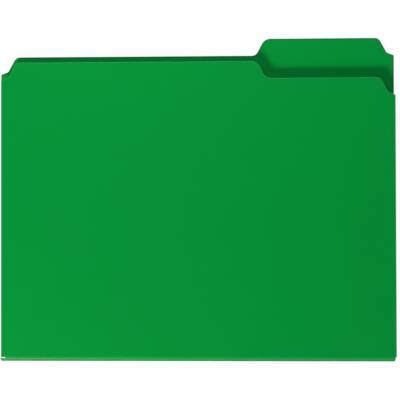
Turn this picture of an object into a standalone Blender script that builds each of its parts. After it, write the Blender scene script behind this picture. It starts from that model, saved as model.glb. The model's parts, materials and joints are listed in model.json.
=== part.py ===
"""A plastic file folder: one die-cut sheet of polypropylene, folded over itself along three creases.

The folder lies closed on its back panel. X runs across it, with the index tab at the +X end, Y runs from the
fold to the tab, and Z is up. The origin is at the middle of the area that it covers, on the table.
Each stretch of the sheet has its origin on the crease that it turns about and hangs on the stretch before it,
so its turn about X is what that crease leaves of a flat sheet.
"""

import math

import bpy
from mathutils import Matrix, Vector

# Sheet and panels, in metres
SHEET_THICKNESS = 0.0005
WIDTH = 0.2953
BODY_HEIGHT = 0.2286  # from the fold to the back panel's top edge, beside the tab
FRONT_SHORTFALL = 0.0046  # how far the front panel's top edge lies below the back panel's
FRONT_SHIFT = 0.0007  # how far the front panel is cut to the right of the back panel

# Index tab, and the lowered edge in front of it
TAB_WIDTH = 0.0997  # from the side edge to the middle of the tab's sloping flank
TAB_RISE = 0.0127
TAB_RADIUS = 0.0072
TAB_FOOT_RADIUS = 0.0050
UNDERCUT = 0.0127
UNDERCUT_RADIUS = 0.0070
FLANK_ANGLE = math.radians(62)

# Stepped corner where a top edge meets a side edge
END_RUN = 0.0113
END_DROP = 0.0130
END_RADIUS = 0.0050
SHOULDER_RUN = 0.0053
SHOULDER_DROP = 0.0019
SHOULDER_RADIUS = 0.0030
SIDE_RADIUS = 0.0012

# Folded bottom: two gusset strips between three creases
GUSSET_DEPTH = 0.0038  # from crease to crease
GUSSET_SLOPE = math.radians(45)  # to the panels, with the folder closed
GUSSET_TAPER = 0.0008  # how much shorter each end is at the bottom crease
CREASE_RELIEF = 0.0038  # length of the slit at each crease's left end, where the crease stops
CREASE_GAP = 0.0003  # between a crease's web and the sheet on either side

# Fineness of the rounded corners
ARC_STEP = math.radians(9)

# Colours and gloss
SHEET_GREEN = (0.003, 0.290, 0.040, 1.0)
CREASE_GREEN = (0.002, 0.250, 0.034, 1.0)
SHEET_ROUGHNESS = 0.50
CREASE_ROUGHNESS = 0.45

# Sizes that follow from those above
SIDE = WIDTH / 2
WEB_RADIUS = SHEET_THICKNESS / 2
SHEET_START = WEB_RADIUS + CREASE_GAP
FOLD_REACH = GUSSET_DEPTH * math.cos(GUSSET_SLOPE) + WEB_RADIUS
BODY_TOP = BODY_HEIGHT - FOLD_REACH
FRONT_TOP = BODY_TOP - FRONT_SHORTFALL
TOTAL_HEIGHT = BODY_HEIGHT + TAB_RISE


def clear_scene():
    for obj in list(bpy.data.objects):
        bpy.data.objects.remove(obj, do_unlink=True)


def plastic(name, colour, roughness):
    material = bpy.data.materials.new(name)
    material.use_nodes = True
    shader = material.node_tree.nodes["Principled BSDF"]
    shader.inputs["Base Color"].default_value = colour
    shader.inputs["Roughness"].default_value = roughness
    shader.inputs["Metallic"].default_value = 0.0
    return material


def rounded(corners):
    """The points of a closed outline whose corners, each (x, y, radius), are rounded by arcs."""
    points = []
    for index, (x, y, radius) in enumerate(corners):
        corner = Vector((x, y))
        before = Vector(corners[index - 1][:2]) - corner
        after = Vector(corners[(index + 1) % len(corners)][:2]) - corner
        if radius == 0:
            points.append(corner)
            continue
        half_angle = before.angle(after) / 2
        reach = min(radius / math.tan(half_angle), before.length / 2, after.length / 2)
        to_centre = (before.normalized() + after.normalized()).normalized()
        centre = corner + to_centre * reach / math.cos(half_angle)
        spoke = corner + before.normalized() * reach - centre
        turn = math.copysign(math.pi - 2 * half_angle, after.cross(before))
        steps = math.ceil(abs(turn) / ARC_STEP)
        for step in range(steps + 1):
            points.append(centre + Matrix.Rotation(turn * step / steps, 2) @ spoke)
    return points


def stepped_end(side, top):
    """Corners from the side edge up to the top edge: a short shoulder, then a steep flank."""
    inward = -math.copysign(1, side)
    return [
        (side, top - END_DROP, SIDE_RADIUS),
        (side + inward * SHOULDER_RUN, top - END_DROP + SHOULDER_DROP, SHOULDER_RADIUS),
        (side + inward * END_RUN, top, END_RADIUS),
    ]


def flank(right_top, left_top, right_radius, left_radius):
    """Corners of the slope, at the tab's left side, between two levels of a top edge."""
    middle = SIDE - TAB_WIDTH
    half_run = abs(right_top - left_top) / math.tan(FLANK_ANGLE) / 2
    return [
        (middle + half_run, right_top, right_radius),
        (middle - half_run, left_top, left_radius),
    ]


def panel_outline(left_top, right_top, right_radius, left_radius):
    bottom = [(-SIDE, SHEET_START, 0), (SIDE, SHEET_START, 0)]
    right_end = stepped_end(SIDE, right_top)
    left_end = stepped_end(-SIDE, left_top)
    slope = flank(right_top, left_top, right_radius, left_radius)
    return rounded(bottom + right_end + slope + left_end[::-1])


def gusset_outline(first_side, last_side):
    first = SHEET_START
    last = GUSSET_DEPTH - SHEET_START
    return [
        Vector((-first_side, first)),
        Vector((first_side, first)),
        Vector((last_side, last)),
        Vector((-last_side, last)),
    ]


def add_curve(name, points, cyclic, collection):
    curve = bpy.data.curves.new(name, "CURVE")
    spline = curve.splines.new("POLY")
    spline.points.add(len(points) - 1)
    for spot, point in zip(spline.points, points):
        spot.co = (point.x, point.y, 0, 1)
    spline.use_cyclic_u = cyclic
    obj = bpy.data.objects.new(name, curve)
    collection.objects.link(obj)
    return obj


def add_sheet(name, outline, collection):
    """A flat stretch of the sheet, centred on its own XY plane."""
    obj = add_curve(name, outline, True, collection)
    obj.data.dimensions = "2D"
    obj.data.fill_mode = "BOTH"
    obj.data.extrude = SHEET_THICKNESS / 2
    obj.data.materials.append(plastic(name, SHEET_GREEN, SHEET_ROUGHNESS))
    return obj


def add_web(name, side, collection):
    """The thinned web of a crease: a fine bead along the line that the sheet bends about.

    It runs out at the right side edge, and stops at the slit before the left one.
    """
    obj = add_curve(name, [Vector((CREASE_RELIEF - side, 0)), Vector((side, 0))], False, collection)
    obj.data.dimensions = "3D"
    obj.data.fill_mode = "FULL"
    obj.data.bevel_depth = WEB_RADIUS
    obj.data.bevel_resolution = 2
    obj.data.use_fill_caps = True
    obj.data.materials.append(plastic(name, CREASE_GREEN, CREASE_ROUGHNESS))
    return obj


def hang(obj, parent, location, turn=0.0):
    obj.parent = parent
    obj.location = location
    obj.rotation_euler.x = turn


def main():
    clear_scene()
    folder = bpy.data.collections.new("file_folder")
    bpy.context.scene.collection.children.link(folder)
    narrow_side = SIDE - GUSSET_TAPER

    tab_top = BODY_TOP + TAB_RISE
    back_outline = panel_outline(BODY_TOP, tab_top, TAB_RADIUS, TAB_FOOT_RADIUS)
    back_panel = add_sheet("back_panel", back_outline, folder)
    back_panel.location = (-FRONT_SHIFT / 2, FOLD_REACH - TOTAL_HEIGHT / 2, SHEET_THICKNESS / 2)

    at_start = (0, 0, 0)
    at_end = (0, GUSSET_DEPTH, 0)
    hang(add_web("back_crease", SIDE, folder), back_panel, at_start)
    back_gusset = add_sheet("back_gusset", gusset_outline(SIDE, narrow_side), folder)
    hang(back_gusset, back_panel, at_start, math.pi - GUSSET_SLOPE)

    hang(add_web("bottom_crease", narrow_side, folder), back_gusset, at_end)
    front_gusset = add_sheet("front_gusset", gusset_outline(narrow_side, SIDE), folder)
    hang(front_gusset, back_gusset, at_end, 2 * GUSSET_SLOPE - math.pi)

    hang(add_web("front_crease", SIDE, folder), front_gusset, at_end)
    undercut_top = FRONT_TOP - UNDERCUT
    front_outline = panel_outline(FRONT_TOP, undercut_top, UNDERCUT_RADIUS, UNDERCUT_RADIUS)
    front_panel = add_sheet("front_panel", front_outline, folder)
    hang(front_panel, front_gusset, (FRONT_SHIFT, GUSSET_DEPTH, 0), -GUSSET_SLOPE)


main()
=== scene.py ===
# %% [markdown]
# # A plastic file folder
#
# The real folder is one die-cut sheet of green polypropylene, half a millimetre thick. Three
# creases near its bottom turn it into a back leaf with an index tab, a gusset of two narrow strips,
# and a shorter front leaf. The frame that is loaded here already holds those stretches as plain
# solids, hinged on their creases. The lesson dresses each of them with a finished surface, and
# leaves the frame where it is.

# %% Load the frame
import json
import math

import bmesh
import bpy
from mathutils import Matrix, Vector
from mathutils.geometry import interpolate_bezier


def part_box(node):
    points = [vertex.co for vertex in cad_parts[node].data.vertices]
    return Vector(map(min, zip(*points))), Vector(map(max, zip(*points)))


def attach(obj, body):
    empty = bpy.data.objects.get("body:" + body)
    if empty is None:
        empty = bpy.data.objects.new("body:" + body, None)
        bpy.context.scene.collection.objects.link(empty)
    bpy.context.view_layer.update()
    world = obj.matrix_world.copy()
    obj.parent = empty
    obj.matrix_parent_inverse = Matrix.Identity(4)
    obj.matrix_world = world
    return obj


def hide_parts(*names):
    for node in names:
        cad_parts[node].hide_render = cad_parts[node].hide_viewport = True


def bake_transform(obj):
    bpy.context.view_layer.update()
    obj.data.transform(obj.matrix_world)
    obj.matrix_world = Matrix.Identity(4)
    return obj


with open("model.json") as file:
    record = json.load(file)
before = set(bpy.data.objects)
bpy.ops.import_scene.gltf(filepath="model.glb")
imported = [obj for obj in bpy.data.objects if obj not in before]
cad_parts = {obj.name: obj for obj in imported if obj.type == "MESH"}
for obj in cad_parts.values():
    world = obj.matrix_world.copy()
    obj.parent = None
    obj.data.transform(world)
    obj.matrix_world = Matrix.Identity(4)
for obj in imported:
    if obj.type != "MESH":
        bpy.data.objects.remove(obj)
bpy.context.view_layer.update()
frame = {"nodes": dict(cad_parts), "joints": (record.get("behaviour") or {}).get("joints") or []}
print("stretches of the sheet:", ", ".join(sorted(frame["nodes"])))

# %% [markdown]
# Every size of the dressed folder could be typed in again, but then it could disagree with the
# frame, so the main ones are read from it. The joints say which line each crease runs on. The
# sheet's thickness is the height of the back leaf's box. Beside each crease the flat sheet starts a
# little way off the line, and the crease's own thinned web fills the space between. At the left end
# the webs stop at a slit, and at both ends the gusset is a little shorter at its bottom.


# %% Sizes that the frame gives
def mm(metres):
    """A length as it is printed."""
    return f"{metres * 1000:.2f} mm"


def span(node):
    """The lowest and highest X of a node."""
    low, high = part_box(node)
    return low.x, high.x


crease_line = {joint["name"]: Vector(joint["pos_m"]) for joint in frame["joints"]}
back_axis = crease_line["back_crease_hinge"]
bottom_axis = crease_line["bottom_crease_hinge"]
front_axis = crease_line["front_crease_hinge"]

back_low, back_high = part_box("back_panel")
sheet_thickness = back_high.z - back_low.z
sheet_start = back_low.y - back_axis.y
slit_length = span("front_crease")[0] - span("front_gusset")[0]
end_taper = span("front_crease")[1] - span("bottom_crease")[1]
print(f"sheet {mm(sheet_thickness)} thick, starting {mm(sheet_start)} from a crease's line")
print(f"slits {mm(slit_length)} long, gusset {mm(end_taper)} shorter at each end of its bottom")

# %% [markdown]
# A finish is a network of nodes, and most of its links are plain sums. Each could be added and
# linked by hand, but a small class keeps them readable: it wraps one socket, and an operator on it
# adds the Math node that the operator stands for. The same class serves the Geometry Nodes further
# down. Every other node comes from its one method, `node`. A wire without a socket of its own is
# called a pen, and only draws nodes.


# %% A socket that can be calculated with
class Wire:
    """A socket in a node tree. Arithmetic on wires and numbers adds Math nodes."""

    def __init__(self, tree, socket=None):
        self.tree = tree
        self.socket = socket

    def node(self, kind, settings, sockets, output=None):
        """Adds a node, sets its settings and then its sockets' values or links, and gives one output."""
        made = self.tree.nodes.new(kind)
        for name, value in settings.items():
            setattr(made, name, value)
        for identifier, value in sockets.items():
            socket = next(s for s in made.inputs if s.identifier == identifier)
            if isinstance(value, Wire):
                self.tree.links.new(value.socket, socket)
            else:
                socket.default_value = value
        outputs = [s for s in made.outputs if output in (None, s.identifier)]
        return Wire(self.tree, outputs[0] if outputs else None)

    def math(self, operation, first, second=0.0):
        return self.node("ShaderNodeMath", {"operation": operation}, {"Value": first, "Value_001": second})

    def __add__(self, other):
        return self.math("ADD", self, other)

    def __sub__(self, other):
        return self.math("SUBTRACT", self, other)

    def __rsub__(self, other):
        return self.math("SUBTRACT", other, self)

    def __mul__(self, other):
        return self.math("MULTIPLY", self, other)

    def __truediv__(self, other):
        return self.math("DIVIDE", self, other)

    def __rtruediv__(self, other):
        return self.math("DIVIDE", other, self)

    __radd__ = __add__
    __rmul__ = __mul__


print("wires can be added, subtracted, multiplied and divided")

# %% [markdown]
# Polypropylene sheet is coloured right through. Under soft light it shows one deep green, and its
# satin comes from a fine grain that the rollers press into both faces. Looked at closely, the
# colour drifts a little from place to place, the rollers leave faint lines along the sheet, and
# handling leaves short hairline scuffs that are duller than the rest. An image of real sheet could
# show all this, but it would need a file and blur close up. Here each is a noise at its own scale.
# The patterns use the piece's own coordinates, so they stay in place when the folder opens.

# %% Patterns
NOISE_DETAIL = 2.0
NOISE_ROUGHNESS = 0.55
NOISE_MIDDLE = 0.5


def noise(pen, place, size):
    """A noise from 0 to 1, with patches of about that size in metres."""
    sockets = {"Vector": place, "Scale": 1 / size, "Detail": NOISE_DETAIL, "Roughness": NOISE_ROUGHNESS}
    return pen.node("ShaderNodeTexNoise", {}, sockets, "Fac")


def streaks(pen, place, turn, along, across):
    """A noise drawn out into streaks of that length and width, turned about Z."""
    sockets = {"Vector": place, "Rotation": (0, 0, turn), "Scale": (along, across, across)}
    return noise(pen, pen.node("ShaderNodeMapping", {"vector_type": "TEXTURE"}, sockets), 1.0)


def step(pen, value, low, high):
    """0 below low, 1 above high, and smooth in between."""
    sockets = {"Value": value, "From Min": low, "From Max": high}
    return pen.node("ShaderNodeMapRange", {"interpolation_type": "SMOOTHSTEP"}, sockets, "Result")


print(f"every noise has {NOISE_DETAIL:.0f} finer layers")

# %% [markdown]
# A pattern reaches the finish in three ways: it mixes two greens, it changes how rough the surface
# is, or it raises the surface through a Bump node. The grain is far too fine to model, so it is a
# bump. Gloss is the same all over a piece, so it is a plain number on the shader.

# %% From patterns to a finish
GRAIN_SIZE = 0.00033
GRAIN_HEIGHT = 0.00002
MOTTLE_SIZE = 0.003
MOTTLE_SHARE = 0.5


def mixed(pen, share, first, second):
    sockets = {"Factor_Float": share, "A_Color": first, "B_Color": second}
    return pen.node("ShaderNodeMix", {"data_type": "RGBA"}, sockets, "Result_Color")


def grain(pen, place, strength):
    """The pressed grain and a faint mottle under it, as a normal."""
    height = noise(pen, place, GRAIN_SIZE) + noise(pen, place, MOTTLE_SIZE) * MOTTLE_SHARE
    sockets = {"Strength": strength, "Distance": GRAIN_HEIGHT, "Height": height}
    return pen.node("ShaderNodeBump", {}, sockets)


def start_finish(name, shine):
    """A new material, a pen for its nodes, and its shader."""
    material = bpy.data.materials.new(name)
    material.use_nodes = True
    shader = material.node_tree.nodes["Principled BSDF"]
    shader.inputs["Specular IOR Level"].default_value = shine
    return material, Wire(material.node_tree), shader


def plug(wire, node, socket):
    wire.tree.links.new(wire.socket, node.inputs[socket])


print(f"grain of {mm(GRAIN_SIZE)} over a mottle of {mm(MOTTLE_SIZE)}")

# %% [markdown]
# Three faint patterns keep the green from looking painted on: the drift of the colour, the roller
# lines, and two sets of scuffs that cross. A scuff is the crest of a drawn-out noise, and a range
# close to the top of that noise keeps only a few of them. Modelled scratches would cost thousands
# of faces, and show no more.

# %% Drift, roller lines and scuffs
DRIFT_SIZE = 0.045
DRIFT_RANGE = (0.30, 0.75)
LINE_LENGTH = 0.30
LINE_SPACING = 0.0016
SCUFF_LENGTH = 0.020
SCUFF_WIDTH = 0.0006
SCUFF_RANGES = {0.5: (0.70, 0.80), -0.9: (0.72, 0.80)}  # by the way that a set runs, in radians


def drift_pattern(pen, place):
    return step(pen, noise(pen, place, DRIFT_SIZE), *DRIFT_RANGE)


def line_pattern(pen, place):
    return streaks(pen, place, 0.0, LINE_LENGTH, LINE_SPACING)


def scuff_pattern(pen, place):
    sets = []
    for turn, ends in SCUFF_RANGES.items():
        sets.append(step(pen, streaks(pen, place, turn, SCUFF_LENGTH, SCUFF_WIDTH), *ends))
    return sum(sets)


print(f"scuffs of {mm(SCUFF_LENGTH)} in {len(SCUFF_RANGES)} sets, roller lines {mm(LINE_SPACING)} apart")

# %% [markdown]
# Along the cut the two faces differ. The steel rule enters from the outer face and rolls the edge
# over. That edge is painted paler: partly the bruised plastic, partly a painted highlight on the
# rounded edge. The rule leaves through the inner face with a fine burr, and a dark line of painted
# shade runs along that edge. A pattern in space can't find the edge, so the mesh carries this as
# the value `rim`: towards 1 at the rolled side of the cut, with its painted highlight, towards -1
# at the burr side, with its painted shade.

# %% The finish of the sheet
SHEET_GREEN = (0.0003, 0.295, 0.0336, 1.0)
SHEET_SHINE = 0.06
SHEET_ROUGHNESS = 0.48
SHEET_GRAIN = 0.25
DRIFT_GREEN = (0.0006, 0.280, 0.0346, 1.0)
DRIFT_SHARE = 0.45
DRIFT_DULLING = 0.03
LINE_DULLING = 0.06
SCUFF_GREEN = (0.0060, 0.305, 0.0520, 1.0)
SCUFF_SHARE = 0.12
SCUFF_DULLING = 0.10
# painted highlight along the outer face's rounded cut edge, over the paler bruised plastic there
ROLLED_HIGHLIGHT_GREEN = (0.0170, 0.340, 0.0740, 1.0)
ROLLED_HIGHLIGHT_RANGE = (0.45, 0.70)
ROLLED_POLISH = 0.12
# painted shade: a dark line along the inner face's cut edge
EDGE_SHADE_GREEN = (0.0004, 0.070, 0.0100, 1.0)
EDGE_SHADE_RANGE = (0.40, 0.65)


def sheet_finish():
    material, pen, shader = start_finish("satin_green_sheet", SHEET_SHINE)
    place = pen.node("ShaderNodeTexCoord", {}, {}, "Object")
    rim = pen.node("ShaderNodeAttribute", {"attribute_name": "rim"}, {}, "Fac")
    # painted highlight along the outer cut edge, which also stands for its paler plastic
    rolled_highlight = step(pen, rim, *ROLLED_HIGHLIGHT_RANGE)
    # painted shade along the inner cut edge
    edge_shade = step(pen, rim * -1, *EDGE_SHADE_RANGE)
    drift = drift_pattern(pen, place)
    lines = line_pattern(pen, place)
    scuffs = scuff_pattern(pen, place)
    colour = mixed(pen, drift * DRIFT_SHARE, SHEET_GREEN, DRIFT_GREEN)
    colour = mixed(pen, scuffs * SCUFF_SHARE, colour, SCUFF_GREEN)
    colour = mixed(pen, rolled_highlight, colour, ROLLED_HIGHLIGHT_GREEN)
    colour = mixed(pen, edge_shade, colour, EDGE_SHADE_GREEN)
    roughness = SHEET_ROUGHNESS + (drift - NOISE_MIDDLE) * DRIFT_DULLING
    roughness = roughness + (lines - NOISE_MIDDLE) * LINE_DULLING
    roughness = roughness + scuffs * SCUFF_DULLING - rolled_highlight * ROLLED_POLISH
    plug(colour, shader, "Base Color")
    plug(roughness, shader, "Roughness")
    plug(grain(pen, place, SHEET_GRAIN), shader, "Normal")
    return material


satin_sheet = sheet_finish()
print("finish:", satin_sheet.name, len(satin_sheet.node_tree.nodes), "nodes")

# %% [markdown]
# The fold is the same sheet, pressed by a heated bar. On the two strips the bar irons most of the
# grain out, so they shine more than the leaves do. Where the fold is painted darker as shade, the
# tone also pales again in patches, as stretched plastic does. Strips and webs carry two values for
# this: `across`, from 0 at one edge of the piece to 1 at the other, and `rest_place`, where each
# point lies in the closed folder. Object coordinates would do on the rigid strips, but the second
# value keeps the pattern on a web while it bends.

# %% A pressed finish
IRONED_SHINE = 0.17
IRONED_ROUGHNESS = 0.34
IRONED_GRAIN = 0.08
DEEP_DULLING = 0.16
STRETCHED_GREEN = (0.0030, 0.290, 0.0420, 1.0)
PATCH_LENGTH = 0.012
PATCH_WIDTH = 0.002
PATCH_RANGE = (0.50, 0.75)
PATCH_SHARE = 0.5
PATCH_DULLING = 0.12


def pressed_finish(name, shaded_green, share_of):
    """A pressed stretch of the sheet. share_of(pen, across) says how much of the painted shade it shows."""
    material, pen, shader = start_finish(name, IRONED_SHINE)
    place = pen.node("ShaderNodeAttribute", {"attribute_name": "rest_place"}, {}, "Vector")
    across = pen.node("ShaderNodeAttribute", {"attribute_name": "across"}, {}, "Fac")
    share = share_of(pen, across)
    patches = streaks(pen, place, 0.0, PATCH_LENGTH, PATCH_WIDTH)
    # the painted shade of the fold, as much as share says
    colour = mixed(pen, share, SHEET_GREEN, shaded_green)
    colour = mixed(pen, share * step(pen, patches, *PATCH_RANGE) * PATCH_SHARE, colour, STRETCHED_GREEN)
    roughness = IRONED_ROUGHNESS + share * DEEP_DULLING + (patches - NOISE_MIDDLE) * PATCH_DULLING
    plug(colour, shader, "Base Color")
    plug(roughness, shader, "Roughness")
    plug(grain(pen, place, IRONED_GRAIN), shader, "Normal")
    return material


print(f"patches of {mm(PATCH_LENGTH)} by {mm(PATCH_WIDTH)} on the fold")

# %% [markdown]
# The strips are painted darker towards the bottom, as shade where the sheet is bent double, and the
# web there is painted dark all over as that shade. The two creases beside the leaves are coined
# thin, and a darker green is painted along their middle as shade in the groove. So one finish
# serves all three, and only the share of the painted shade differs.

# %% The three finishes of the fold
# painted shade where the fold is bent double
FOLD_SHADE_GREEN = (0.0004, 0.095, 0.0130, 1.0)
FOLD_SHADE_RANGE = (0.28, 0.68)
# painted shade along the middle of a coined crease's groove
CREASE_SHADE_GREEN = (0.0005, 0.230, 0.0300, 1.0)
CREASE_SHADE_POWER = 6.0


def hump(share):
    """0 at both ends, and 1 in the middle."""
    return share * (1 - share) * 4


# painted shade grows towards the bottom of a strip
def shaded_near_bottom(pen, across):
    return step(pen, across, *FOLD_SHADE_RANGE)


# painted shade along the middle of a crease
def shaded_in_middle(pen, across):
    return pen.math("POWER", hump(across), CREASE_SHADE_POWER)


def throughout(pen, across):
    return 1.0


ironed_strip = pressed_finish("ironed_strip", FOLD_SHADE_GREEN, shaded_near_bottom)
bottom_crease = pressed_finish("bottom_crease", FOLD_SHADE_GREEN, throughout)
coined_crease = pressed_finish("coined_crease", CREASE_SHADE_GREEN, shaded_in_middle)
print("finishes:", ironed_strip.name, bottom_crease.name, coined_crease.name)

# %% [markdown]
# A leaf is cut from flat sheet by a steel rule, so its outline is the whole of its shape. It could
# be drawn again, but the frame's solid has that outline already, and a copy of its upper face gives
# it. The face is made one polygon, and its long edges are divided.

# %% An outline from the frame
MERGE_DISTANCE = 0.000005
FACING_UP = 0.9
GRID_STEP = 0.005


def outline_face(node):
    """The upper face of a node, as a mesh of one face whose long edges are divided."""
    cut = bmesh.new()
    cut.from_mesh(frame["nodes"][node].data)
    bmesh.ops.remove_doubles(cut, verts=cut.verts, dist=MERGE_DISTANCE)
    others = [face for face in cut.faces if face.normal.z < FACING_UP]
    bmesh.ops.delete(cut, geom=others, context="FACES")
    bmesh.ops.dissolve_faces(cut, faces=cut.faces[:])
    for edge in cut.edges[:]:
        bmesh.ops.bisect_edges(cut, edges=[edge], cuts=int(edge.calc_length() / GRID_STEP))
    return cut


print(f"outlines divided about every {mm(GRID_STEP)}")

# %% [markdown]
# A narrow band is inset along the cut, and a grid of lines is knifed through the rest. The band
# holds the value `rim`, which is 1 on the cut and fades to 0 across the band. The grid lets the
# leaf be a little less than flat, as thin sheet is: a leaf that is perfectly flat reads as
# cardboard when light grazes it.

# %% The band along the cut, and the grid
CUT_BAND = 0.0012
ACROSS = Vector((1, 0, 0))
UPWARDS = Vector((0, 1, 0))


def knife(cut, faces, spot, normal):
    parts = set(faces)
    for face in faces:
        parts.update(face.edges)
        parts.update(face.verts)
    bmesh.ops.bisect_plane(cut, geom=list(parts), plane_co=spot, plane_no=normal)


def band_and_grid(cut, low, high):
    """Insets the cut's band, marks it in the layer rim, and knifes the grid."""
    inset = {"thickness": CUT_BAND, "use_boundary": True, "use_even_offset": True}
    band = set(bmesh.ops.inset_region(cut, faces=cut.faces[:], **inset)["faces"])
    rim = cut.verts.layers.float.new("rim")
    for vertex in cut.verts:
        vertex[rim] = float(vertex.is_boundary and vertex.co.y > low.y + CUT_BAND)
    for axis, normal in enumerate((ACROSS, UPWARDS)):
        count = round((high[axis] - low[axis]) / GRID_STEP)
        for number in range(1, count):
            inner = [face for face in cut.faces if face not in band]
            knife(cut, inner, normal * (low[axis] + (high[axis] - low[axis]) * number / count), normal)


print(f"band of {mm(CUT_BAND)} along each cut")

# %% [markdown]
# Beside the left end of its crease the sheet isn't coined but slit, so there the leaf's lower
# corner reaches on, to the crease's line. Moving the row of points past the crease's end does this,
# with two knife lines to keep the step short.

# %% The corner beside the slit
SLIT_GAP = 0.0001
SLIT_EASE = 0.0005


def reach_slit(cut, low, crease, axis):
    """Lets the lower left corner reach the crease's line, past the end of the crease."""
    end = span(crease)[0]
    for spot in (end, end - SLIT_EASE):
        knife(cut, cut.faces[:], ACROSS * spot, ACROSS)
    for vertex in cut.verts:
        if vertex.co.y < low.y + MERGE_DISTANCE and vertex.co.x < end - SLIT_EASE / 2:
            vertex.co.y = axis.y + SLIT_GAP


print(f"corners stop {mm(SLIT_GAP)} from the crease's line")

# %% [markdown]
# Leaves and strips start as surfaces, and a Solidify modifier gives both the sheet's thickness. The
# mesh that a modifier makes replaces it at once, because the next step works on real faces.


# %% Objects and their thickness
def add_mesh_object(name, mesh):
    obj = bpy.data.objects.new(name, mesh)
    bpy.context.scene.collection.objects.link(obj)
    return obj


def finished_mesh(obj):
    """Replaces an object's modifiers by the mesh that they make."""
    evaluated = obj.evaluated_get(bpy.context.evaluated_depsgraph_get())
    made = bpy.data.meshes.new_from_object(evaluated)
    obj.modifiers.clear()
    obj.data = made


def give_thickness(obj):
    solidify = obj.modifiers.new("thickness", "SOLIDIFY")
    solidify.thickness = sheet_thickness
    solidify.offset = 0
    finished_mesh(obj)


print(f"surfaces become {mm(sheet_thickness)} thick")

# %% [markdown]
# The rule leaves its edges a little rounded, so they are bevelled. An edge where the sheet goes on
# into a crease stays square. A bevel makes new faces, and smooth shading would run from the flat of
# the sheet over them into the square end behind, as a faint wedge in the corner. So the shading
# breaks at every sharp edge, and all round a square end. A Weighted Normal modifier then keeps the
# large faces flat up to their rounded rim.

# %% Edges and shading
EDGE_ROUND = 0.00016
EDGE_SEGMENTS = 3
ROUND_PROFILE = 0.5
SQUARE_ANGLE = math.radians(50)
SMOOTH_ANGLE = math.radians(35)


def is_square(edge):
    return edge.calc_face_angle(0.0) > SQUARE_ANGLE


def mark_breaks(closed):
    """Shades a piece smooth, with breaks at sharp edges and all round a face between two square ones."""
    closed.normal_update()
    for edge in closed.edges:
        edge.smooth = edge.calc_face_angle(0.0) < SMOOTH_ANGLE
    for face in closed.faces:
        face.smooth = True
        if sum(is_square(edge) for edge in face.edges) > 1:
            for edge in face.edges:
                edge.smooth = False


def close_and_shade(obj, is_cut):
    """Welds a piece, turns its faces outwards, rounds the edges where it was cut, and shades it."""
    closed = bmesh.new()
    closed.from_mesh(obj.data)
    bmesh.ops.remove_doubles(closed, verts=closed.verts, dist=MERGE_DISTANCE)
    bmesh.ops.recalc_face_normals(closed, faces=closed.faces)
    cuts = [edge for edge in closed.edges if is_square(edge) and is_cut(edge)]
    rounding = {
        "offset": EDGE_ROUND,
        "offset_type": "OFFSET",
        "segments": EDGE_SEGMENTS,
        "profile": ROUND_PROFILE,
    }
    bmesh.ops.bevel(closed, geom=cuts, affect="EDGES", clamp_overlap=True, **rounding)
    mark_breaks(closed)
    closed.to_mesh(obj.data)
    closed.free()
    flatten = obj.modifiers.new("flat faces", "WEIGHTED_NORMAL")
    flatten.keep_sharp = True
    finished_mesh(obj)
    print(f"{obj.name}: {len(obj.data.polygons)} faces, {len(cuts)} cut edges")
    return obj


print(f"cut edges rounded by {mm(EDGE_ROUND)}")

# %% [markdown]
# These steps in a row make a leaf: the outline, the band and the grid, the corner at the slit, the
# curl, the thickness, and the edges. Last, `rim` gets its sign. Solidify copied it to both faces of
# the sheet, and the way that a point faces says which of the two it is on.


# %% A leaf from its outline
def sign_rim(leaf, outer):
    """Makes rim negative on the inner face. outer is 1 where the outer face looks up, and -1 where down."""
    rim = leaf.data.attributes["rim"].data
    for vertex in leaf.data.vertices:
        rim[vertex.index].value = math.copysign(rim[vertex.index].value, vertex.normal.z * outer)


def make_leaf(name, node, crease, axis, lift, outer):
    """A leaf in its node's place. lift(across, up) is how far a point stands off the flat sheet."""
    low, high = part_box(node)
    cut = outline_face(node)
    band_and_grid(cut, low, high)
    reach_slit(cut, low, crease, axis)
    for vertex in cut.verts:
        across = (vertex.co.x - low.x) / (high.x - low.x) * 2 - 1
        up = max(0.0, (vertex.co.y - low.y) / (high.y - low.y))
        vertex.co.z = (low.z + high.z) / 2 + lift(across, up)
    mesh = bpy.data.meshes.new(name)
    cut.to_mesh(mesh)
    cut.free()
    leaf = add_mesh_object(name, mesh)
    give_thickness(leaf)
    close_and_shade(leaf, lambda edge: max(vertex.co.y for vertex in edge.verts) > low.y + MERGE_DISTANCE)
    sign_rim(leaf, outer)
    leaf.data.materials.append(satin_sheet)
    return leaf


print("a leaf follows the outline of its node")

# %% [markdown]
# The sheet keeps a memory of its roll. The back leaf lies on the table, so only its free corners
# lift, by a fraction of a millimetre. The front leaf is free at the top, where it bows along its
# edge. Both stay flat at their crease, so that they meet the gusset. A simulation could bend them,
# but a formula is enough for so little.

# %% The two leaves
CORNER_LIFT = 0.00025
CORNER_POWER = 4
EDGE_BOW = 0.00035
LEVEL_SHARE = 0.5  # where the bowed edge crosses the flat sheet, as a squared share of half the width


def back_lift(across, up):
    return CORNER_LIFT * (across * up) ** CORNER_POWER


def front_lift(across, up):
    return EDGE_BOW * up ** 2 * (across ** 2 - LEVEL_SHARE)


back_leaf = make_leaf("back_leaf", "back_panel", "back_crease", back_axis, back_lift, -1)
front_leaf = make_leaf("front_leaf", "front_panel", "front_crease", front_axis, front_lift, 1)

# %% [markdown]
# The gusset has the same section all along the fold, so each of its pieces is a section swept along
# X. Seen along X, a point is its Y and Z alone. A strip's section is a line that bows outwards,
# because the plastic pushes against its creases: the fold is a rounded U more than a V. At the left
# end the slits gape, and take a nick out of the strips. The front strip's is narrow. The back
# strip's is wider, so that the floor shows through. Each nick needs two points of the section close
# together, where it stops.

# %% Lines in the section
SECTION_STEPS = 12
FRONT_NICK = 0.12
BACK_NICK = 0.30
NICK_EDGE = 0.01
HANDLE_SHARE = 1 / 3
shares = [number / SECTION_STEPS for number in range(SECTION_STEPS + 1)]
nick_ends = [nick + more for nick in (FRONT_NICK, BACK_NICK) for more in (0, NICK_EDGE)]
strip_shares = sorted(shares + nick_ends)


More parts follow.
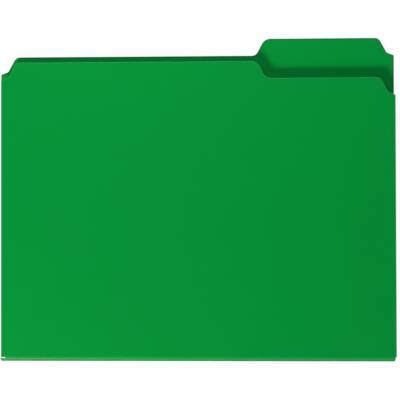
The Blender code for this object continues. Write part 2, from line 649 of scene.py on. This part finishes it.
def left_of(direction):
    return Vector((-direction.y, direction.x)).normalized()


def bowed_line(start, end, bow):
    """A line that bows to its left, or to its right where bow is negative."""
    chord = end - start
    return [start + chord * share + left_of(chord) * bow * hump(share) for share in strip_shares]


def web_line(start, start_way, end, end_way):
    """A smooth line that leaves its start and reaches its end along the given ways."""
    reach = (end - start).length * HANDLE_SHARE
    start_handle = start + start_way.normalized() * reach
    end_handle = end - end_way.normalized() * reach
    points = interpolate_bezier(start, start_handle, end_handle, end, len(shares))
    return [Vector(point) for point in points]


print(f"a strip's line has {len(strip_shares)} points, a web's {len(shares)}")

# %% [markdown]
# The section follows the middle of the sheet from the back leaf, round the fold, to the front leaf.
# The strips run between the creases, and a web joins each edge to the next in a curve that leaves
# both in line. Straight webs would do for the closed folder, but would show as kinks when it opens.

# %% The line of the fold
STRIP_BOW = 0.00055
STRIP_START = 0.0002
FOLD_PROUD = 0.00042
INTO_LEAF = Vector((1, 0))


def in_section(point):
    """A point of the frame as it is seen along X: its Y and Z."""
    return Vector((point.y, point.z))


def way_in(line):
    return line[1] - line[0]


def way_out(line):
    return line[-1] - line[-2]


back_corner = in_section(back_axis)
bottom_corner = in_section(bottom_axis) - INTO_LEAF * FOLD_PROUD
front_corner = in_section(front_axis)


def strip_line(corner, bow):
    """The line of a strip, from beside its leaf's crease to beside the bottom one."""
    way = (bottom_corner - corner).normalized()
    return bowed_line(corner + way * STRIP_START, bottom_corner - way * sheet_start, bow)


back_line = strip_line(back_corner, STRIP_BOW)
front_line = strip_line(front_corner, -STRIP_BOW)
back_edge = back_corner + INTO_LEAF * sheet_start
front_edge = front_corner + INTO_LEAF * sheet_start
back_web_line = web_line(back_edge, -INTO_LEAF, back_line[0], way_in(back_line))
bottom_web_line = web_line(back_line[-1], way_out(back_line), front_line[-1], -way_out(front_line))
front_web_line = web_line(front_line[0], -way_in(front_line), front_edge, INTO_LEAF)
print(f"gusset strip {mm((back_line[-1] - back_line[0]).length)} wide")

# %% [markdown]
# A section is kept as a mesh of edges, because a mesh can carry values on its points, and a sweep
# hands them on. A strip's section is the open line itself. Its value `taper` says how much shorter
# the strip is there at each end, and `nick` how much of its left end the slit takes.


# %% Sections of the strips
def section_mesh(name, points, closed, values):
    """A row of edges in the XY plane, turned round as the sweep needs it, with a value on each point."""
    mesh = bpy.data.meshes.new(name)
    edges = [(number, number + 1) for number in range(len(points) - 1)]
    if closed:
        edges.append((len(points) - 1, 0))
    mesh.from_pydata([(-point.x, -point.y, 0) for point in points], edges, [])
    for value_name, numbers in values.items():
        layer = mesh.attributes.new(value_name, "FLOAT", "POINT")
        layer.data.foreach_set("value", numbers)
    return mesh


def strip_section(name, line, nick):
    tapers = [end_taper * share for share in strip_shares]
    nicks = [slit_length if share <= nick else 0.0 for share in strip_shares]
    return section_mesh(name, line, False, {"across": strip_shares, "taper": tapers, "nick": nicks})


sections = {
    "back_strip": strip_section("back_strip_section", back_line, BACK_NICK),
    "front_strip": strip_section("front_strip_section", front_line, FRONT_NICK),
}
print("sections:", ", ".join(sections))

# %% [markdown]
# A web could be made as the strips are, by thickening a surface. But it is thinner in its middle,
# where the bar coined it, so its section is a closed loop: the line moved out by half the web's
# thickness, and back again moved in. Its two ends are tucked into the stretches that it joins, and
# hidden there.

# %% Sections of the webs
TUCK = 0.00015
WEB_EDGE = 0.00046
COINED = 0.00040


def tucked(line):
    """A web's line, lengthened into the stretches that it joins."""
    first = way_in(line).normalized() * TUCK
    last = way_out(line).normalized() * TUCK
    return [line[0] - first] + line + [line[-1] + last]


def web_section(name, line):
    points = tucked(line)
    ends = [points[0]] + points + [points[-1]]
    parts = [number / (len(points) - 1) for number in range(len(points))]
    outer = []
    inner = []
    for point, before, after, part in zip(points, ends, ends[2:], parts):
        half = (WEB_EDGE - (WEB_EDGE - COINED) * math.sin(math.pi * part) ** 2) / 2
        outer.append(point + left_of(after - before) * half)
        inner.append(point - left_of(after - before) * half)
    return section_mesh(name, outer + inner[::-1], True, {"across": parts + parts[::-1]})


sections["back_web"] = web_section("back_web_section", back_web_line)
sections["bottom_web"] = web_section("bottom_web_section", bottom_web_line)
sections["front_web"] = web_section("front_web_section", front_web_line)
print("points in each section:", {name: len(mesh.vertices) for name, mesh in sections.items()})

# %% [markdown]
# One tree of Geometry Nodes sweeps all five pieces, and its inputs say what differs between them. A
# modifier's input is set by the identifier of its socket, so the tree's are kept by name.

# %% The inputs of a tree
TREE_INPUTS = {
    "Section": "NodeSocketObject",
    "Length": "NodeSocketFloat",
    "Middle": "NodeSocketFloat",
    "Columns": "NodeSocketInt",
    "Finish": "NodeSocketMaterial",
}


def start_tree(name):
    """A tree with those inputs and a geometry output, the inputs as wires, and their identifiers."""
    tree = bpy.data.node_groups.new(name, "GeometryNodeTree")
    identifiers = {}
    for title, kind in TREE_INPUTS.items():
        socket = tree.interface.new_socket(title, in_out="INPUT", socket_type=kind)
        identifiers[title] = socket.identifier
    tree.interface.new_socket("Geometry", in_out="OUTPUT", socket_type="NodeSocketGeometry")
    group_input = tree.nodes.new("NodeGroupInput")
    given = {title: Wire(tree, group_input.outputs[title]) for title in TREE_INPUTS}
    return tree, given, identifiers


print("inputs:", ", ".join(TREE_INPUTS))

# %% [markdown]
# The path of the sweep is a straight line whose points gather towards the ends, where the cut edges
# need them. Curve to Mesh lays the section's X and Y against the sweep's left and bottom, which is
# why the section was drawn with both turned round. The tree then draws each row of points in at its
# ends, by the values that the section carries. A high power of the place along the path keeps the
# nick at the left end.

# %% A tree that sweeps a section along the fold
NICK_POWER = 15


def sweep_tree():
    tree, given, identifiers = start_tree("sweep_along_fold")
    pen = Wire(tree)

    def along_x(value):
        return pen.node("ShaderNodeCombineXYZ", {}, {"X": value})

    def carried(name):
        settings = {"data_type": "FLOAT"}
        return pen.node("GeometryNodeInputNamedAttribute", settings, {"Name": name}, "Attribute")

    half = given["Length"] * 0.5
    position = pen.node("GeometryNodeInputPosition", {}, {})
    along = pen.node("ShaderNodeSeparateXYZ", {}, {"Vector": position}, "X") / half
    ends = {"Start": along_x(half * -1), "End": along_x(half)}
    line = pen.node("GeometryNodeCurvePrimitiveLine", {}, ends)
    count = {"Curve": line, "Count": given["Columns"]}
    even = pen.node("GeometryNodeResampleCurve", {"mode": "COUNT"}, count)
    gathered = along_x(pen.math("SINE", along * (math.pi / 2)) * half)
    path = pen.node("GeometryNodeSetPosition", {}, {"Geometry": even, "Position": gathered})

    drawn = pen.node("GeometryNodeObjectInfo", {}, {"Object": given["Section"]}, "Geometry")
    section = pen.node("GeometryNodeMeshToCurve", {}, {"Mesh": drawn})
    both = {"Curve": path, "Profile Curve": section, "Fill Caps": True}
    swept = pen.node("GeometryNodeCurveToMesh", {}, both)

    left_end = pen.math("POWER", pen.math("MAXIMUM", along * -1, 0.0), NICK_POWER)
    moved = along_x(given["Middle"] - along * carried("taper") + left_end * carried("nick"))
    placed = pen.node("GeometryNodeSetPosition", {}, {"Geometry": swept, "Offset": moved})
    marked = pen.node(
        "GeometryNodeStoreNamedAttribute",
        {"data_type": "FLOAT_VECTOR", "domain": "POINT"},
        {"Geometry": placed, "Name": "rest_place", "Value": position},
    )
    real = pen.node("GeometryNodeRealizeInstances", {}, {"Geometry": marked})
    painted = pen.node("GeometryNodeSetMaterial", {}, {"Geometry": real, "Material": given["Finish"]})
    plug(painted, tree.nodes.new("NodeGroupOutput"), "Geometry")
    return tree, identifiers


fold_tree, fold_sockets = sweep_tree()
print("tree:", fold_tree.name, len(fold_tree.nodes), "nodes")

# %% [markdown]
# A strip comes out of the tree as a surface, and gets its thickness as the leaves did. Only its two
# ends were cut, so only the edges that don't run along the fold are rounded. A web is already
# closed, and has no cut to round.

# %% Sweep the strips and the webs
SWEEP_COLUMNS = 75


def sweep(name, node, finish):
    """A section swept over the length of its node, as a plain mesh."""
    guide = add_mesh_object(name + "_guide", sections[name])
    piece = add_mesh_object(name, bpy.data.meshes.new(name))
    modifier = piece.modifiers.new("sweep", "NODES")
    modifier.node_group = fold_tree
    first, last = span(node)
    values = {
        "Section": guide,
        "Length": last - first,
        "Middle": (first + last) / 2,
        "Columns": SWEEP_COLUMNS,
        "Finish": finish,
    }
    for title, value in values.items():
        modifier[fold_sockets[title]] = value
    finished_mesh(piece)
    bpy.data.objects.remove(guide)
    return piece


def runs_across_fold(edge):
    way = edge.verts[1].co - edge.verts[0].co
    return abs(way.x) < way.length / 2


def make_strip(name, node):
    piece = sweep(name, node, ironed_strip)
    give_thickness(piece)
    return close_and_shade(piece, runs_across_fold)


def make_web(name, node, finish):
    return close_and_shade(sweep(name, node, finish), lambda edge: False)


back_strip = make_strip("back_strip", "back_gusset")
front_strip = make_strip("front_strip", "front_gusset")
back_web = make_web("back_web", "back_crease", coined_crease)
bottom_web = make_web("bottom_web", "bottom_crease", bottom_crease)
front_web = make_web("front_web", "front_crease", coined_crease)

# %% [markdown]
# Leaves and strips are rigid, so each rides on its own body. They could be parented by hand; here a
# small helper parents each to an empty for its body, and hides the frame's node that it stands for.


# %% What the leaves and strips ride on
def wear(node):
    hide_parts(node)


for piece, body, node in [
    (back_leaf, "back", "back_panel"),
    (back_strip, "back_strip", "back_gusset"),
    (front_strip, "front_strip", "front_gusset"),
    (front_leaf, "front", "front_panel"),
]:
    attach(piece, body)
    wear(node)
    print(f"{piece.name} rides on {body}")

# %% [markdown]
# A web bends. Riding on one body it would tear from the other. Here the points where its turn
# would start and stop are worked out, past the tucked end on one side and before the tucked end on
# the other, but the web itself is only fixed in place as it lies in the closed folder.


# %% Where the webs would turn
def bend(piece, line):
    """Finds where a web's turn would start and stop, clear of its two ends, and bakes its placing into its
    mesh.
    """
    chord = (line[-1] - line[0]).normalized()
    start_clear = abs(left_of(way_in(line)).dot(chord)) * WEB_EDGE / 2
    end_clear = abs(left_of(way_out(line)).dot(chord)) * WEB_EDGE / 2
    first = line[0] + chord * start_clear
    last = line[-1] - chord * end_clear
    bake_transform(piece)


for piece, node, bodies, line in [
    (back_web, "back_crease", ("back", "back_strip"), back_web_line),
    (bottom_web, "bottom_crease", ("back_strip", "front_strip"), bottom_web_line),
    (front_web, "front_crease", ("front_strip", "front"), front_web_line),
]:
    bend(piece, line)
    wear(node)
    print(f"{piece.name} bends between {bodies[0]} and {bodies[1]}")

# %% [markdown]
# The folder is pictured from straight above, on white. The floor is pale and takes the folder's
# shadow. More light would whiten it, but would bleach the folder too. So for the camera, and for
# reflections, most of it is plain white light: the background stays white, and the shadow shows
# only faintly.

# %% Floor
FLOOR_SIZE = 40.0
FLOOR_DROP = 0.0002
FLOOR_WHITE = (0.95, 0.95, 0.95, 1.0)
FLOOR_ROUGHNESS = 0.9
FLOOR_SHINE = 0.0
SHADOW_SHARE = 0.04
PLAIN_WHITE = (1.0, 1.0, 1.0, 1.0)
SEEN_BY = ("Is Camera Ray", "Is Glossy Ray", "Is Transmission Ray")


def seen_directly(pen):
    """1 where the camera or a reflection looks, and 0 where light is gathered."""
    seen = 0.0
    for ray in SEEN_BY:
        seen = pen.math("MAXIMUM", pen.node("ShaderNodeLightPath", {}, {}, ray), seen)
    return seen


def floor_finish():
    material, pen, shader = start_finish("white_floor", FLOOR_SHINE)
    shader.inputs["Base Color"].default_value = FLOOR_WHITE
    shader.inputs["Roughness"].default_value = FLOOR_ROUGHNESS
    lit = Wire(pen.tree, shader.outputs["BSDF"])
    white = pen.node("ShaderNodeEmission", {}, {"Color": PLAIN_WHITE, "Strength": 1.0})
    share = seen_directly(pen) * (1 - SHADOW_SHARE)
    both = pen.node("ShaderNodeMixShader", {}, {"Fac": share, "Shader": lit, "Shader_001": white})
    plug(both, material.node_tree.nodes["Material Output"], "Surface")
    return material


bpy.ops.mesh.primitive_plane_add(size=FLOOR_SIZE, location=(0, 0, -FLOOR_DROP))
floor = bpy.context.object
floor.name = "floor"
floor.data.materials.append(floor_finish())
print(f"floor: {FLOOR_SIZE:.0f} m square, {mm(FLOOR_DROP)} under the folder")

# %% [markdown]
# The shadow of the front leaf falls up and to the right, so the main light stands low at the lower
# left. It is a small softbox: the shadow's edge is soft over about a third of its length. A second
# light above the folder's top edge, close by, evens out what the first one loses there. One large
# light overhead would be simpler, but it would wipe out the shadow that shows how far the leaves
# lie apart.

# %% Lights
AIM = Vector((0.05, 0.06, 0))  # the spot on the folder that both lights face
KEY_COLOUR = (1.0, 1.0, 0.92)
FILL_COLOUR = (1.0, 1.0, 1.0)


def add_light(name, watts, colour, size, azimuth, elevation, distance):
    """A square soft light. Azimuth is measured from +X towards +Y, in degrees."""
    a = math.radians(azimuth)
    e = math.radians(elevation)
    way = Vector((math.cos(a) * math.cos(e), math.sin(a) * math.cos(e), math.sin(e)))
    lamp = bpy.data.lights.new(name, "AREA")
    lamp.energy = watts
    lamp.color = colour
    lamp.size = size
    holder = bpy.data.objects.new(name, lamp)
    holder.location = AIM + way * distance
    holder.rotation_euler = (-way).to_track_quat("-Z", "Y").to_euler()
    bpy.context.scene.collection.objects.link(holder)
    print(f"{name} light: {watts} W from {distance} m")


add_light("key", watts=24.8, colour=KEY_COLOUR, size=0.264, azimuth=237, elevation=27, distance=1.51)
add_light("fill", watts=1.32, colour=FILL_COLOUR, size=0.34, azimuth=108, elevation=30, distance=0.45)

# %% [markdown]
# The rest of the light comes from the studio's walls: bright at the horizon, and dark towards the
# ceiling. One even sky would be simpler, but it would fill the shadow of the front leaf. The light
# of the walls is bluish, as daylight is beside lamps, and shows in the shadows. The camera and the
# reflections see plain white all round.

# %% Walls and ceiling
WALL_TOP = 0.08  # heights are the Z of a direction: 0 at the horizon, 1 overhead
CEILING = 0.50
WALL_LIGHT = (1.1, 1.25, 3.4, 1.0)


def studio_world():
    world = bpy.data.worlds.new("studio")
    world.use_nodes = True
    pen = Wire(world.node_tree)
    way = pen.node("ShaderNodeTexCoord", {}, {}, "Generated")
    height = pen.node("ShaderNodeSeparateXYZ", {}, {"Vector": way}, "Z")
    seen = seen_directly(pen)
    walls = 1 - step(pen, height, WALL_TOP, CEILING)
    background = world.node_tree.nodes["Background"]
    plug(mixed(pen, seen, WALL_LIGHT, PLAIN_WHITE), background, "Color")
    plug(pen.math("MAXIMUM", walls, seen), background, "Strength")
    return world


bpy.context.scene.world = studio_world()
bpy.context.scene.view_settings.view_transform = "Standard"
print(f"walls bright up to {math.degrees(math.asin(WALL_TOP)):.0f} degrees above the horizon")

# %% [markdown]
# The camera hangs a metre above the folder, a little to the right of its middle, and looks almost
# straight down. It could hang over the middle, but the sides of the two leaves, 5 mm apart in
# height, only line up as they should from this place. The lens then follows from the size of the
# outline.

# %% Camera
CAMERA_PLACE = (0.0413, -0.0178, 1.0)
CAMERA_TURN = (0.01747, 0.03926, -0.00236)
CAMERA_LENS = 119.93
CAMERA_SENSOR = 36
camera_data = bpy.data.cameras.new("camera")
camera_data.lens = CAMERA_LENS
camera_data.sensor_width = CAMERA_SENSOR
camera = bpy.data.objects.new("camera", camera_data)
camera.location = CAMERA_PLACE
camera.rotation_euler = CAMERA_TURN
bpy.context.scene.collection.objects.link(camera)
bpy.context.scene.camera = camera
print(f"camera: {CAMERA_LENS} mm lens, {CAMERA_PLACE[2]} m above the floor")
